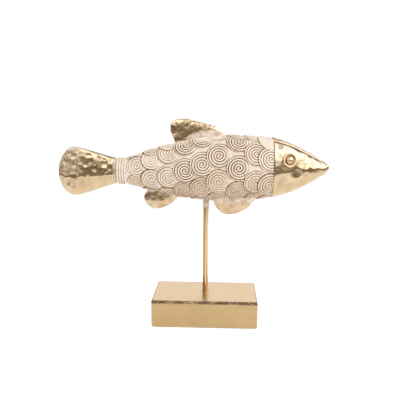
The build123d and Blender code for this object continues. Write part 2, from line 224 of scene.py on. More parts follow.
def makeWhitewash():  # gold-lacquered cast resin brushed with cream: pale crowns, bare gold in the grooves, darkened to brown as painted shade in the groove bottoms, at scale rims and in the creases
    spec = whitewashSpec
    material, add = startMaterial("castResinWhitewash")
    place = add("ShaderNodeTexCoord").outputs["Object"]
    patch, brush, grit = [
        add("ShaderNodeTexNoise", {"Vector": place, "Scale": 1 / (spec[key] * mm), "Detail": detail})
        for key, detail in (("patch", 3.0), ("brush", 4.0), ("grit", 5.0))
    ]
    cover = add("ShaderNodeAttribute", attribute_name="ridge").outputs["Fac"]
    for noise in (patch, brush):
        cover = add("ShaderNodeMath", {0: noise, 1: spec["uneven"], 2: cover}, operation="MULTIPLY_ADD")
    cover = add("ShaderNodeMath", {0: cover, 1: spec["uneven"]}, operation="SUBTRACT", use_clamp=True)
    colour = add("ShaderNodeValToRGB", {"Fac": cover}, spec["crowns"])
    bare = add("ShaderNodeMapRange", {
        "Value": cover, "From Min": spec["bareFull"], "From Max": spec["bareFrom"],
        "To Min": spec["bareMetal"], "To Max": 0.0,
    })
    share, start = spec["bareRough"], spec["creamRough"]
    rough = add("ShaderNodeMath", {0: bare, 1: share, 2: start}, operation="MULTIPLY_ADD")
    finishMaterial(add, colour, bare, rough, grit, spec["gritHeight"])
    return material


giltSpec = {
    "tone": 14, "peel": 1.8, "ragged": 2.6, "blot": 5, "peelHeight": 0.06,  # mm
    "gold": ((0.3, "#C6AC88"), (0.55, "#CEB998"), (0.75, "#D6C6AD")),
    "hollows": "#8B7251", "hollowShare": 0.35,
    # the dark dulled colour: painted shade at the head's joints and eye, the crest's darker tone, a darker
    # line on the tail's upper edge
    "grime": "#3A2917", "grimeDulls": 0.6,
    "cream": ((0.34, "#BFA68C"), (0.5, "#DFCDBC"), (0.64, "#EFE3D8")),
    "raggedLift": 0.4, "creamFrom": 0.28, "creamFull": 0.7,
    "toneRough": 0.16, "dullRough": 0.42, "coat": 0.35, "coatRough": 0.12,
}


def makeGilt(name, gloss):  # gold lacquer on dimpled resin: toned hollows, dark dulled marks that are painted shade at the joints and a darker tone elsewhere, cream by the body
    spec = giltSpec
    material, add = startMaterial(name)
    place = add("ShaderNodeTexCoord").outputs["Object"]
    wash, grime, hollow = [
        add("ShaderNodeAttribute", attribute_name=layer).outputs["Fac"]
        for layer in ("wash", "grime", "hollow")
    ]
    ragged, tone, blot, peel = [
        add("ShaderNodeTexNoise", {"Vector": place, "Scale": 1 / (spec[key] * mm), "Detail": detail})
        for key, detail in (("ragged", 5.0), ("tone", 4.0), ("blot", 4.0), ("peel", 2.0))
    ]
    cover = sprayCover(add, wash, ragged, spec)
    deep = add("ShaderNodeMath", {0: hollow, 1: spec["hollowShare"]}, operation="MULTIPLY")
    cream = add("ShaderNodeValToRGB", {"Fac": blot}, spec["cream"])
    colour = add("ShaderNodeValToRGB", {"Fac": tone}, spec["gold"]).outputs[0]
    layers = ((deep, linearColour(spec["hollows"])), (grime, linearColour(spec["grime"])), (cover, cream))
    for share, layer in layers:
        colour = add("ShaderNodeMix", {"Factor": share, 6: colour, 7: layer}, data_type="RGBA").outputs[2]
    inputs = {0: grime, 1: spec["grimeDulls"], 2: cover}
    dull = add("ShaderNodeMath", inputs, operation="MULTIPLY_ADD", use_clamp=True)
    metal = add("ShaderNodeMath", {0: 1.0, 1: dull}, operation="SUBTRACT")
    rough = gloss
    for source, share in ((tone, spec["toneRough"]), (dull, spec["dullRough"])):
        rough = add("ShaderNodeMath", {0: source, 1: share, 2: rough}, operation="MULTIPLY_ADD")
    finishMaterial(add, colour, metal, rough, peel, spec["peelHeight"], {
        "Coat Weight": spec["coat"], "Coat Roughness": spec["coatRough"],
    })
    return material


rodSpec = {
    "washFrom": 117, "washFull": 131, "ragged": 2.2, "blot": 4, "lineHeight": 0.03,  # mm
    "draw": 1.7, "drawWay": (1, 1, 0.006),  # drawing lines along the bar, coarse enough to show
    "gold": ((0.36, "#A27F4B"), (0.5, "#C8AA7E"), (0.64, "#E4D0B3")),
    "cream": ((0.3, "#B8A28B"), (0.65, "#DFCFBF")),
    "raggedLift": 0.4, "creamFrom": 0.3, "creamFull": 0.6,
    "satin": 0.1, "lineRough": 0.14, "creamRough": 0.3,
}


def makeRodLacquer():  # drawn bar under satin gold lacquer: fine lines along it, cream below the belly
    spec = rodSpec
    material, add = startMaterial("goldLacquerRod")
    place = add("ShaderNodeTexCoord").outputs["Object"]
    height = add("ShaderNodeSeparateXYZ", {0: place}).outputs["Z"]
    rise = add("ShaderNodeMapRange", {
        "Value": height, "From Min": spec["washFrom"] * mm, "From Max": spec["washFull"] * mm,
    })
    drawn = add("ShaderNodeMapping", {"Vector": place, "Scale": spec["drawWay"]})
    ragged, lines, blot = [
        add("ShaderNodeTexNoise", {"Vector": way, "Scale": 1 / (spec[key] * mm), "Detail": detail})
        for key, way, detail in (("ragged", place, 4.0), ("draw", drawn, 3.0), ("blot", place, 4.0))
    ]
    cover = sprayCover(add, rise, ragged, spec)
    gold = add("ShaderNodeValToRGB", {"Fac": lines}, spec["gold"])
    cream = add("ShaderNodeValToRGB", {"Fac": blot}, spec["cream"])
    colour = add("ShaderNodeMix", {"Factor": cover, 6: gold, 7: cream}, data_type="RGBA")
    metal = add("ShaderNodeMath", {0: 1.0, 1: cover}, operation="SUBTRACT")
    rough = spec["satin"]
    for source, share in ((lines, spec["lineRough"]), (cover, spec["creamRough"])):
        rough = add("ShaderNodeMath", {0: source, 1: share, 2: rough}, operation="MULTIPLY_ADD")
    finishMaterial(add, colour.outputs[2], metal, rough, lines, spec["lineHeight"])
    return material


sheetSpec = {
    "grain": 0.6, "tone": 30, "chip": 1.5, "worn": 9, "grainHeight": 0.015,  # mm
    "grainWay": (0.05, 1, 1), "chipWay": (0.3, 1, 1),  # below 1 draws a pattern out along the block
    "gold": ((0.3, "#B29463"), (0.5, "#BA9D6F"), (0.7, "#C3A87D")), "toneShare": 0.5,
    # a painted dark reflection along the fold line: its colour, the noise that breaks it up, and its strength
    # in full and in the gaps
    "stain": "#442B16", "wornShare": 0.5, "wornFrom": 0.78, "wornBy": 0.9, "stained": 0.9, "rubbed": 0.05,
    "rough": 0.2, "grainRough": 0.2, "coat": 0.95, "coatRough": 0.3,
}


def makeBrassSheet():  # thin brass sheet polished along its length: soft streaked reflections, a painted dark reflection along the fold
    spec = sheetSpec
    material, add = startMaterial("polishedBrassSheet")
    place = add("ShaderNodeTexCoord").outputs["Object"]
    polished = add("ShaderNodeMapping", {"Vector": place, "Scale": spec["grainWay"]})
    drawn = add("ShaderNodeMapping", {"Vector": place, "Scale": spec["chipWay"]})
    ways = (("grain", polished, 4.0), ("tone", place, 4.0), ("chip", drawn, 3.0), ("worn", place, 2.0))
    grain, tone, chip, worn = [
        add("ShaderNodeTexNoise", {"Vector": way, "Scale": 1 / (spec[key] * mm), "Detail": detail})
        for key, way, detail in ways
    ]
    blend = add("ShaderNodeMix", {"Factor": spec["toneShare"], 2: grain, 3: tone}, data_type="FLOAT")
    gold = add("ShaderNodeValToRGB", {"Fac": blend}, spec["gold"])
    # where the painted dark reflection along the fold lies
    fold = add("ShaderNodeAttribute", attribute_name="grime").outputs["Fac"]
    worn = add("ShaderNodeMath", {0: worn, 1: spec["wornShare"], 2: chip}, operation="MULTIPLY_ADD")
    worn = add("ShaderNodeMapRange", {
        "Value": worn, "From Min": spec["wornFrom"], "From Max": spec["wornBy"],
        "To Min": spec["stained"], "To Max": spec["rubbed"],
    })
    stain = add("ShaderNodeMath", {0: fold, 1: worn}, operation="MULTIPLY")
    stained = linearColour(spec["stain"])
    colour = add("ShaderNodeMix", {"Factor": stain, 6: gold, 7: stained}, data_type="RGBA")
    metal, rough, coat = [
        add("ShaderNodeMath", {0: source, 1: share, 2: start}, operation="MULTIPLY_ADD")
        for source, share, start in (
            (stain, -1.0, 1.0),
            (grain, spec["grainRough"], spec["rough"]),
            (stain, -spec["coat"], spec["coat"]),
        )
    ]
    finishMaterial(add, colour.outputs[2], metal, rough, grain, spec["grainHeight"], {
        "Coat Weight": coat, "Coat Roughness": spec["coatRough"],
    })
    return material


feltSpec = {  # pressed wool felt: black, matt, slightly clouded
    "name": "pressedWoolFelt", "marks": 0.8, "detail": 6.0, "way": (1, 1, 1), "height": 0.2,
    "colours": ((0.3, "#2A2622"), (0.7, "#453F38")),
    "rough": 0.95, "marksRough": 0.0, "metal": 0.0, "sheen": 0.3,
}
pineSpec = {  # sawn pine: straight grain along the block
    "name": "sawnPineBlock", "marks": 3, "detail": 5.0, "way": (0.06, 1, 1), "height": 0.15,
    "colours": ((0.3, "#B98A55"), (0.7, "#DDB985")),
    "rough": 0.7, "marksRough": 0.0, "metal": 0.0, "sheen": 0.0,
}
ferruleSpec = {  # turned brass: faint tool marks in the gloss
    "name": "turnedBrassFerrule", "marks": 0.9, "detail": 4.0, "way": (1, 1, 1), "height": 0.03,
    "colours": ((0.3, "#B08D4F"), (0.7, "#D2AF6C")),
    "rough": 0.2, "marksRough": 0.2, "metal": 1.0, "sheen": 0.0,
}
zincSpec = {  # zinc-plated steel: cool grey with a soft bloom
    "name": "zincPlatedSteel", "marks": 1.1, "detail": 4.0, "way": (1, 1, 1), "height": 0.03,
    "colours": ((0.3, "#9A9C9E"), (0.7, "#C8CACB")),
    "rough": 0.25, "marksRough": 0.2, "metal": 1.0, "sheen": 0.0,
}


def makeFitting(spec):  # one pattern of marks, sized in mm, gives colour, gloss and relief
    material, add = startMaterial(spec["name"])
    place = add("ShaderNodeTexCoord").outputs["Object"]
    way = add("ShaderNodeMapping", {"Vector": place, "Scale": spec["way"]})
    marks = add("ShaderNodeTexNoise", {
        "Vector": way, "Scale": 1 / (spec["marks"] * mm), "Detail": spec["detail"],
    })
    colour = add("ShaderNodeValToRGB", {"Fac": marks}, spec["colours"])
    rough = spec["rough"]
    if spec["marksRough"]:
        rough = add("ShaderNodeMath", {0: marks, 1: spec["marksRough"], 2: rough}, operation="MULTIPLY_ADD")
    finishMaterial(add, colour, spec["metal"], rough, marks, spec["height"], {"Sheen Weight": spec["sheen"]})
    return material


whitewash = makeWhitewash()
gilt = makeGilt("giltResinHammered", 0.15)
rubbedGilt = makeGilt("giltResinRubbed", 0.3)  # duller round the eyes
rodLacquer = makeRodLacquer()
brassSheet = makeBrassSheet()
felt, pine = makeFitting(feltSpec), makeFitting(pineSpec)
turnedBrass, zincSteel = makeFitting(ferruleSpec), makeFitting(zincSpec)
print("materials made")


# Node trees: each ends smooth, real and with its material

def startTree(name, inputs):
    tree = bpy.data.node_groups.new(name, "GeometryNodeTree")
    for label, kind in inputs:
        tree.interface.new_socket(label, in_out="INPUT", socket_type="NodeSocket" + kind)
    tree.interface.new_socket("Geometry", in_out="OUTPUT", socket_type="NodeSocketGeometry")
    add = partial(addNode, tree)
    return tree, add, add("NodeGroupInput").outputs


def endTree(add, geometry, push, material):  # moves the skin along its normals
    normal = add("GeometryNodeInputNormal")
    offset = add("ShaderNodeVectorMath", {"Vector": normal, "Scale": push}, operation="SCALE")
    moved = add("GeometryNodeSetPosition", {"Geometry": geometry, "Offset": offset})
    smooth = add("GeometryNodeSetShadeSmooth", {"Geometry": moved})
    real = add("GeometryNodeRealizeInstances", {"Geometry": smooth})
    finish = add("GeometryNodeSetMaterial", {"Geometry": real, "Material": material})
    add("NodeGroupOutput", {"Geometry": finish})


# Body: an oval skin, then spiral scales laid on it from tail to head

bodySpec = {
    "x": (-92, -78, -62, -42, -20, 0, 28, 50, 69),
    "tall": (12.0, 14.6, 20.2, 25.6, 30.0, 32.8, 34.0, 32.4, 30.2),  # half heights
    "wide": (8.6, 10.2, 13.2, 16.8, 20.5, 22.9, 24.0, 23.2, 21.5),  # half thicknesses
    "centre": (162.1, 162.8, 163.4, 163.8, 165.2, 166.0, 166.5, 167.0, 167.6),
    "rings": 300, "around": 320,
    "neckGroove": 0.8, "neckGrooveLength": 1.4,  # the skin dips where the head cap meets it
}
scaleSpec = {
    "columns": (  # place along the fish, radius, angles up the flank, share of the grooves left open
        (-72, 10.4, (-90, -50, 75, 19), 0.7),
        (-56, 11.6, (-90, -22, 36, 90), 0.85),
        (-38.5, 12.2, (-70, -13, 46, 90), 0.95),
        (-21, 12.8, (-90, -48, 0, 59), 1.0),
        (-3.5, 13.0, (-90, -36, 11, 72), 1.0),
        (13.5, 13.0, (-68, -20, 26, 90), 1.0),
        (33.5, 13.0, (-90, -42, 4, 57, 90), 1.0),
        (51, 12.8, (-74, -24, 30, 90), 0.9),
        (65.5, 13.3, (-90, -32, 20, 70), 0.85),
    ),
    "groovePitch": 2.7, "grooveDepth": 1.1, "crownPower": 0.5,  # a power below 1 keeps the crowns broad
    "shallowFrom": 0.3, "shallowLeft": 0.3,  # the groove dies away where the scale runs under the next
    "edgeLift": 1.3, "edgeRound": 0.7, "crease": 0.8,  # rim of a scale, and the painted shadow line outside it
    # the rim and crease values set how much painted shade and painted shadow darken the cream there
    "rimBare": 0.78, "creaseSoiled": 0.6, "skinCream": 0.85,
    "floor": -0.15,  # skin between scales
    "faintFrom": -15, "faintBy": -55, "faintCarve": 0.5, "faintCream": 0.75,  # lower scales get shallower grooves and less cream: partly thinner brushing, partly painted shade on the belly and painted floor light in its grooves
    "filled": {  # grooves that more of the cream has filled, by column and angle
        (65.5, 70): 0.35, (51, 90): 0.6, (51, -24): 0.7, (33.5, -42): 0.55, (13.5, -20): 0.72,
        (-3.5, -36): 0.7, (-21, -48): 0.75, (-38.5, 90): 0.6, (-38.5, 46): 0.72, (-38.5, -13): 0.78,
        (-56, 36): 0.6, (-56, -22): 0.72,
    },
    "rubbed": {  # cream worn away
        (51, -24): 0.92, (33.5, -42): 0.8, (13.5, -20): 0.92, (-3.5, -36): 0.87, (-21, -48): 0.88,
    },
    "spray": (3, 19, 0.78, 0.95),  # cream below the dorsal fin: centre, half length, heights from and full
    "sprayCream": 0.95,
}


def bodyAt(x):  # centre height, half height and half thickness along the body
    return [smoothAlong(bodySpec["x"], bodySpec[key], x) for key in ("centre", "tall", "wide")]


def bodyPoint(x, angle):
    centre, tall, wide = [float(value) for value in bodyAt(x)]
    return Vector((x, -wide * math.cos(angle), centre + tall * math.sin(angle)))


def makeBodySkin():
    x = np.linspace(bodySpec["x"][0], bodySpec["x"][-1], bodySpec["rings"])
    centre, tall, wide = bodyAt(x)
    dip = bodySpec["neckGroove"] * ramp(x, x[-1] - bodySpec["neckGrooveLength"], x[-1]) ** 2
    return ringSkin("bodyScales", ovalRings(x, centre, tall - dip, wide - dip, bodySpec["around"]))


def makeScaleCentres():  # one point for each scale, tail first, with the directions it lies along
    stepAlong, stepAngle = 0.5, 0.02
    marks = []
    for x, radius, angles, openShare in scaleSpec["columns"]:
        for degrees in angles:
            angle = math.radians(degrees)
            point = bodyPoint(x, angle)
            along = (bodyPoint(x + stepAlong, angle) - point).normalized()
            upward = (bodyPoint(x, angle + stepAngle) - point).normalized()
            faint = float(ramp(degrees, scaleSpec["faintFrom"], scaleSpec["faintBy"]))
            openness = scaleSpec["filled"].get((x, degrees), openShare)
            kept = scaleSpec["rubbed"].get((x, degrees), 1.0)
            carve = (1 - faint * (1 - scaleSpec["faintCarve"])) * openness
            # less cream on lower scales: partly thinner brushing, partly painted shade
            cream = (1 - faint * (1 - scaleSpec["faintCream"])) * kept
            sizes = (radius * mm, carve, cream)
            marks.append((point, along, upward, *sizes))
            if abs(degrees) < 90:
                marks.append((*[Vector((v.x, -v.y, v.z)) for v in (point, along, upward)], *sizes))
    mesh = bpy.data.meshes.new("scaleCentres")
    mesh.from_pydata([mark[0] * mm for mark in marks], [], [])
    for name, column in (("along", 1), ("upward", 2)):
        layer = mesh.attributes.new(name, "FLOAT_VECTOR", "POINT")
        layer.data.foreach_set("vector", [c for mark in marks for c in mark[column]])
    for name, column in (("radius", 3), ("carve", 4), ("cream", 5)):
        layer = mesh.attributes.new(name, "FLOAT", "POINT")
        layer.data.foreach_set("value", [mark[column] for mark in marks])
    return addObject("scaleCentres", mesh), len(marks)


def makeScaleTree():
    tree, add, given = startTree("spiralScales", (
        ("Skin", "Geometry"), ("Centres", "Object"), ("Count", "Int"), ("Groove Pitch", "Float"),
        ("Groove Depth", "Float"), ("Edge Lift", "Float"), ("Edge Round", "Float"), ("Crease", "Float"),
        ("Floor", "Float"), ("Material", "Material"),
    ))
    marks = add("GeometryNodeObjectInfo", {"Object": given["Centres"]}).outputs["Geometry"]
    position = add("GeometryNodeInputPosition")
    skin = given["Skin"]
    for name, value in (("relief", given["Floor"]), ("ridge", scaleSpec["skinCream"])):
        skin = add("GeometryNodeStoreNamedAttribute", {"Geometry": skin, "Name": name, "Value": value})
    loopEnd = add("GeometryNodeRepeatOutput")
    loopStart = add("GeometryNodeRepeatInput")
    loopStart.pair_with_output(loopEnd)
    tree.links.new(given["Count"], loopStart.inputs["Iterations"])
    tree.links.new(skin.outputs[0], loopStart.inputs["Geometry"])
    turn = loopStart.outputs["Iteration"]

    # where a point of the skin lies on this turn's scale
    mark = {}
    for name in ("place", "along", "upward", "radius", "carve", "cream"):
        kind = "FLOAT_VECTOR" if name in ("place", "along", "upward") else "FLOAT"
        field = position
        if name != "place":
            field = add("GeometryNodeInputNamedAttribute", {"Name": name}, data_type=kind)
        inputs = {"Geometry": marks, "Value": field, "Index": turn}
        mark[name] = add("GeometryNodeSampleIndex", inputs, data_type=kind)
    offset = add("ShaderNodeVectorMath", {0: position, 1: mark["place"]}, operation="SUBTRACT")
    along, upward = [
        add("ShaderNodeVectorMath", {0: offset, 1: mark[way]}, operation="DOT_PRODUCT").outputs["Value"]
        for way in ("along", "upward")
    ]
    reach = add("ShaderNodeVectorMath", {0: offset}, operation="LENGTH").outputs["Value"]

    # one spiral groove, shallower where the scale runs under the next
    angle = add("ShaderNodeMath", {0: upward, 1: along}, operation="ARCTAN2")
    turns = add("ShaderNodeMath", {0: angle, 1: 2 * math.pi}, operation="DIVIDE")
    phase = reach
    pitch = given["Groove Pitch"]
    for operation, value in (("DIVIDE", pitch), ("SUBTRACT", turns), ("MULTIPLY", 2 * math.pi)):
        phase = add("ShaderNodeMath", {0: phase, 1: value}, operation=operation)
    wave = add("ShaderNodeMath", {0: phase}, operation="COSINE")
    wave = add("ShaderNodeMath", {0: wave, 1: 0.5, 2: 0.5}, operation="MULTIPLY_ADD")
    crown = add("ShaderNodeMath", {0: wave, 1: scaleSpec["crownPower"]}, operation="POWER")
    lean = add("ShaderNodeMath", {0: along, 1: mark["radius"]}, operation="DIVIDE")
    fade = add("ShaderNodeMapRange", {
        "Value": lean, "From Min": scaleSpec["shallowFrom"], "From Max": 1.0,
        "To Min": 1.0, "To Max": scaleSpec["shallowLeft"],
    }, interpolation_type="SMOOTHSTEP")
    fade = add("ShaderNodeMath", {0: fade, 1: mark["carve"]}, operation="MULTIPLY")
    groove = add("ShaderNodeMath", {0: 1.0, 1: crown}, operation="SUBTRACT")
    groove = add("ShaderNodeMath", {0: groove, 1: fade}, operation="MULTIPLY")

    # height: a disc that stands up at its tail edge, over what lies there already
    inner = add("ShaderNodeMath", {0: mark["radius"], 1: given["Edge Round"]}, operation="SUBTRACT")
    outer = add("ShaderNodeMath", {0: mark["radius"], 1: given["Crease"]}, operation="ADD")
    edge, crease = [
        add("ShaderNodeMapRange", {
            "Value": reach, "From Min": first, "From Max": last, "To Min": 1.0, "To Max": 0.0,
        }, interpolation_type="SMOOTHSTEP")
        for first, last in ((inner, mark["radius"]), (mark["radius"], outer))
    ]
    tilt = add("ShaderNodeMath", {0: lean, 1: -0.5, 2: 0.5}, operation="MULTIPLY_ADD", use_clamp=True)
    carved = add("ShaderNodeMath", {0: groove, 1: given["Groove Depth"]}, operation="MULTIPLY")
    inputs = {0: tilt, 1: given["Edge Lift"], 2: given["Floor"]}
    raised = add("ShaderNodeMath", inputs, operation="MULTIPLY_ADD")
    raised = add("ShaderNodeMath", {0: raised, 1: carved}, operation="SUBTRACT")
    relief, ridge = [
        add("GeometryNodeInputNamedAttribute", {"Name": name}, data_type="FLOAT")
        for name in ("relief", "ridge")
    ]
    height = add("ShaderNodeMix", {"Factor": edge, 2: relief, 3: raised}, data_type="FLOAT")

    # paint: grooves stay bare gold; the rim gets painted shade and the crease outside it a painted shadow,
    # the one the raised rim throws
    rim = add("ShaderNodeMath", {0: 1.0, 1: edge}, operation="SUBTRACT")
    for share in (tilt, scaleSpec["rimBare"]):
        rim = add("ShaderNodeMath", {0: rim, 1: share}, operation="MULTIPLY")
    paint = add("ShaderNodeMath", {0: mark["cream"], 1: groove}, operation="SUBTRACT")
    paint = add("ShaderNodeMath", {0: paint, 1: rim}, operation="SUBTRACT", use_clamp=True)
    # painted shadow in the crease outside the raised tail-ward rim
    crease = add("ShaderNodeMath", {0: crease, 1: tilt}, operation="MULTIPLY")
    inputs = {0: crease, 1: -scaleSpec["creaseSoiled"], 2: 1.0}
    unshadowed = add("ShaderNodeMath", inputs, operation="MULTIPLY_ADD")
    beside = add("ShaderNodeMath", {0: ridge, 1: unshadowed}, operation="MULTIPLY")
    covered = add("ShaderNodeMath", {0: reach, 1: mark["radius"]}, operation="LESS_THAN")
    inputs = {"Switch": covered, "False": beside, "True": paint}
    shade = add("GeometryNodeSwitch", inputs, input_type="FLOAT")
    geometry = loopStart.outputs["Geometry"]
    for name, value in (("relief", height), ("ridge", shade)):
        inputs = {"Geometry": geometry, "Name": name, "Value": value}
        geometry = add("GeometryNodeStoreNamedAttribute", inputs).outputs[0]
    tree.links.new(geometry, loopEnd.inputs["Geometry"])
    relief = add("GeometryNodeInputNamedAttribute", {"Name": "relief"}, data_type="FLOAT")
    endTree(add, loopEnd.outputs["Geometry"], relief, given["Material"])
    return tree


def makeBody():
    body = makeBodySkin()
    centres, count = makeScaleCentres()
    runTree(body, makeScaleTree(), scaleSpec, {"Centres": centres, "Count": count, "Material": whitewash})
    bpy.data.objects.remove(centres)
    places = pointsOf(body)
    ridge = np.zeros(len(places), np.float32)
    layer = body.data.attributes["ridge"].data
    layer.foreach_get("value", ridge)
    middle, reach, start, full = scaleSpec["spray"]
    centre, tall = bodyAt(places[:, 0])[:2]
    spray = ramp((places[:, 2] - centre) / tall, start, full)
    spray = spray * ramp(np.abs(places[:, 0] - middle), reach, reach / 2)
    layer.foreach_set("value", np.maximum(ridge, scaleSpec["sprayCream"] * spray).astype(np.float32))
    dress(body, "fish", "body_shell")
    print("scales laid:", count)


# Gilt pieces and sheet: plain skins that a node tree dents as if planished, always inwards

hammerSpec = {"bowl": 0.62, "bowlPower": 2.0, "blend": 0.4}  # reach and form of a dent, and how dents merge


def makeHammerTree():
    tree, add, given = startTree("hammerDents", (
        ("Skin", "Geometry"), ("Dent Size", "Float"), ("Dent Depth", "Float"), ("Swell Size", "Float"),
        ("Swell Depth", "Float"), ("Seed", "Float"), ("Material", "Material"),
    ))
    position = add("GeometryNodeInputPosition")
    shift = add("ShaderNodeCombineXYZ", {"X": given["Seed"], "Z": given["Seed"]})
    place = add("ShaderNodeVectorMath", {0: position, 1: shift}, operation="ADD")
    dentScale, swellScale = [
        add("ShaderNodeMath", {0: 1.0, 1: given[label]}, operation="DIVIDE")
        for label in ("Dent Size", "Swell Size")
    ]
    bowl = add("ShaderNodeTexVoronoi", {
        "Vector": place, "Scale": dentScale, "Smoothness": hammerSpec["blend"],
    }, feature="SMOOTH_F1")
    for operation, key in (("DIVIDE", "bowl"), ("POWER", "bowlPower")):
        bowl = add("ShaderNodeMath", {0: bowl, 1: hammerSpec[key]}, operation=operation)
    hollow = add("ShaderNodeMath", {0: 1.0, 1: bowl}, operation="SUBTRACT", use_clamp=True)
    swell = add("ShaderNodeTexNoise", {"Vector": place, "Scale": swellScale, "Detail": 1.0})
    swell = add("ShaderNodeMath", {0: swell, 1: given["Swell Depth"]}, operation="MULTIPLY")
    depth = add("ShaderNodeMath", {0: hollow, 1: given["Dent Depth"], 2: swell}, operation="MULTIPLY_ADD")
    strength = add("GeometryNodeInputNamedAttribute", {"Name": "hammer"}, data_type="FLOAT")
    push = depth
    for share in (strength, -1.0):
        push = add("ShaderNodeMath", {0: push, 1: share}, operation="MULTIPLY")
    toned = add("ShaderNodeMath", {0: hollow, 1: strength}, operation="MULTIPLY")
    inputs = {"Geometry": given["Skin"], "Name": "hollow", "Value": toned}
    skin = add("GeometryNodeStoreNamedAttribute", inputs)
    endTree(add, skin.outputs[0], push, given["Material"])
    return tree


hammerTree = makeHammerTree()


def hammer(piece, spec, material, strength=1.0, wash=0.0, grime=0.0):  # one value, or one for each vertex
    for name, values in (("hammer", strength), ("wash", wash), ("grime", grime)):
        storeOnPoints(piece, name, values)
    runTree(piece, hammerTree, spec, {"Material": material})


headSpec = {
    "x": (67.9, 84.4, 101.8, 117.7, 124.1, 127.0),
    "tall": (31.3, 26.4, 18.5, 9.4, 5.3, 2.2),
    "wide": (22.4, 18.7, 13.2, 7.0, 3.9, 1.7),
    "centre": (167.1, 166.9, 166.75, 167.2, 167.6, 168.3),
    "rimRound": 1.0, "rimSteps": (0.05, 0.15, 0.3, 0.5, 0.75),
    "rings": 190, "around": 220, "noseCrowding": 1.35,  # rings close up towards the nose
    "crestGap": 0.7, "crestGrooveDepth": 1.1, "crestGrooveWidth": 1.5,
    "lineGrime": 0.9, "lineEnd": 122, "lineBroken": 102, "lineWhole": 96,  # the painted shade line in the groove beside the crest
    "seamGrime": 0.85, "seamEnd": 2.47, "seamFull": 0.57,  # painted shadow in the seam, from the rim forward
    "seamLow": 152, "seamHigh": 166, "seamLeast": 0.25,  # the painted shadow is fainter on the lower half
    "haze": 0.5, "hazeFrom": 1, "hazeFull": 6,  # thin cream, by height above the middle: partly overspray, partly a painted highlight on the upper half
    "eye": (84.4, 16.7, 177.1), "eyeLine": 0.6,
    "eyeLines": ((8.1, 0.22), (5.1, 0.15)),  # reach and strength of the painted shade lines round the ring and in its well
    "grimeMost": 0.9,
    "rimFade": 4, "noseFade": 6, "noseLeast": 0.1, "chinFade": 14, "chinLeast": 0.15,  # where dents die away
    "dentSize": 9.5, "dentDepth": 0.7, "swellSize": 20, "swellDepth": 1.1, "seed": 31,
}
crestSpec = {
    "halfWidth": (6.9, 5.6, 4.2, 2.6, 1.7),  # at the head's stations from the rim forward
    "halfDepth": (3.9, 3.4, 2.8, 2.0, 1.3),
    "rise": (0.9, 0.9, 0.7, 0.4, 0.2),
    # the root value adds painted shadow where the crest meets the head's seam; dulled is the crest's own
    # darker tone
    "rings": 120, "around": 64, "dulled": 0.3, "rootDulled": 0.4, "rootReach": 4,
    "dentSize": 6, "dentDepth": 0.15, "swellSize": 9, "swellDepth": 0.3, "seed": 7,
}
crestEnd = headSpec["x"][4]


def headAt(x):
    return [smoothAlong(headSpec["x"], headSpec[key], x) for key in ("centre", "tall", "wide")]


def crestAt(x, key):
    return smoothAlong(headSpec["x"][:5], crestSpec[key], np.clip(x, headSpec["x"][0], crestEnd))


def besideCrest(x, across):  # 1 along the line beside the crest
    return bell(np.abs(across), crestAt(x, "halfWidth") + headSpec["crestGap"], headSpec["crestGrooveWidth"])


def makeHeadSkin():
    start, end = headSpec["x"][0], headSpec["x"][-1]
    share = np.linspace(0, 1, headSpec["rings"])
    rim = np.array(headSpec["rimSteps"]) * headSpec["rimRound"]
    x = start + (end - start) * (1 - (1 - share) ** headSpec["noseCrowding"])
    x = np.unique(np.concatenate([start + rim, x]))
    centre, tall, wide = headAt(x)
    back = 1 - ramp(x, start, start + headSpec["rimRound"])
    dip = headSpec["rimRound"] * (1 - np.sqrt(1 - back**2))
    rings = ovalRings(x, centre, tall - dip, wide - dip, headSpec["around"])
    above = (rings[:, :, 2] > centre[:, None]) & (x < crestEnd)[:, None]
    rings[:, :, 2] -= above * headSpec["crestGrooveDepth"] * besideCrest(x[:, None], rings[:, :, 1])
    return ringSkin("headCap", rings)


def makeHead():
    spec = headSpec
    start, end = spec["x"][0], spec["x"][-1]
    head = makeHeadSkin()
    x, across, up = pointsOf(head).T
    centre, tall = headAt(x)[:2]
    chin = centre - tall
    strength = ramp(x, start, start + spec["rimFade"])
    strength = strength * ramp(x, end, end - spec["noseFade"], spec["noseLeast"])
    strength = strength * ramp(up, chin, chin + spec["chinFade"], spec["chinLeast"])
    broken = 0.5 + 0.5 * np.sin(x * 0.55 + 2 * np.sin(x * 0.23))  # in dashes towards the nose
    # painted shade in the groove beside the crest, in dashes towards the nose
    line = besideCrest(x, across) * (up > centre) * (x < spec["lineEnd"])
    line = line * np.maximum(broken, ramp(x, spec["lineBroken"], spec["lineWhole"]))
    # painted shadow in the seam behind the head, fainter lower down
    seam = ramp(x, start + spec["seamEnd"], start + spec["seamFull"])
    seam = seam * ramp(up, spec["seamLow"], spec["seamHigh"], spec["seamLeast"])
    fromEye = np.linalg.norm(np.stack([x, np.abs(across), up], axis=1) - np.array(spec["eye"]), axis=1)
    # painted shade outlines round the eye ring and in its well
    outline = sum(bell(fromEye, reach, spec["eyeLine"]) * share for reach, share in spec["eyeLines"])
    # cream on the upper half: partly overspray, partly a painted highlight
    haze = spec["haze"] * ramp(up, centre + spec["hazeFrom"], centre + spec["hazeFull"])
    haze = haze * np.clip(1 - line - seam, 0, 1)
    # all painted shade on the head: crest line, seam and eye outlines
    grime = line * spec["lineGrime"] + seam * spec["seamGrime"] + outline
    hammer(head, spec, gilt, strength, haze, np.clip(grime, 0, spec["grimeMost"]))
    dress(head, "fish", "head_cap")


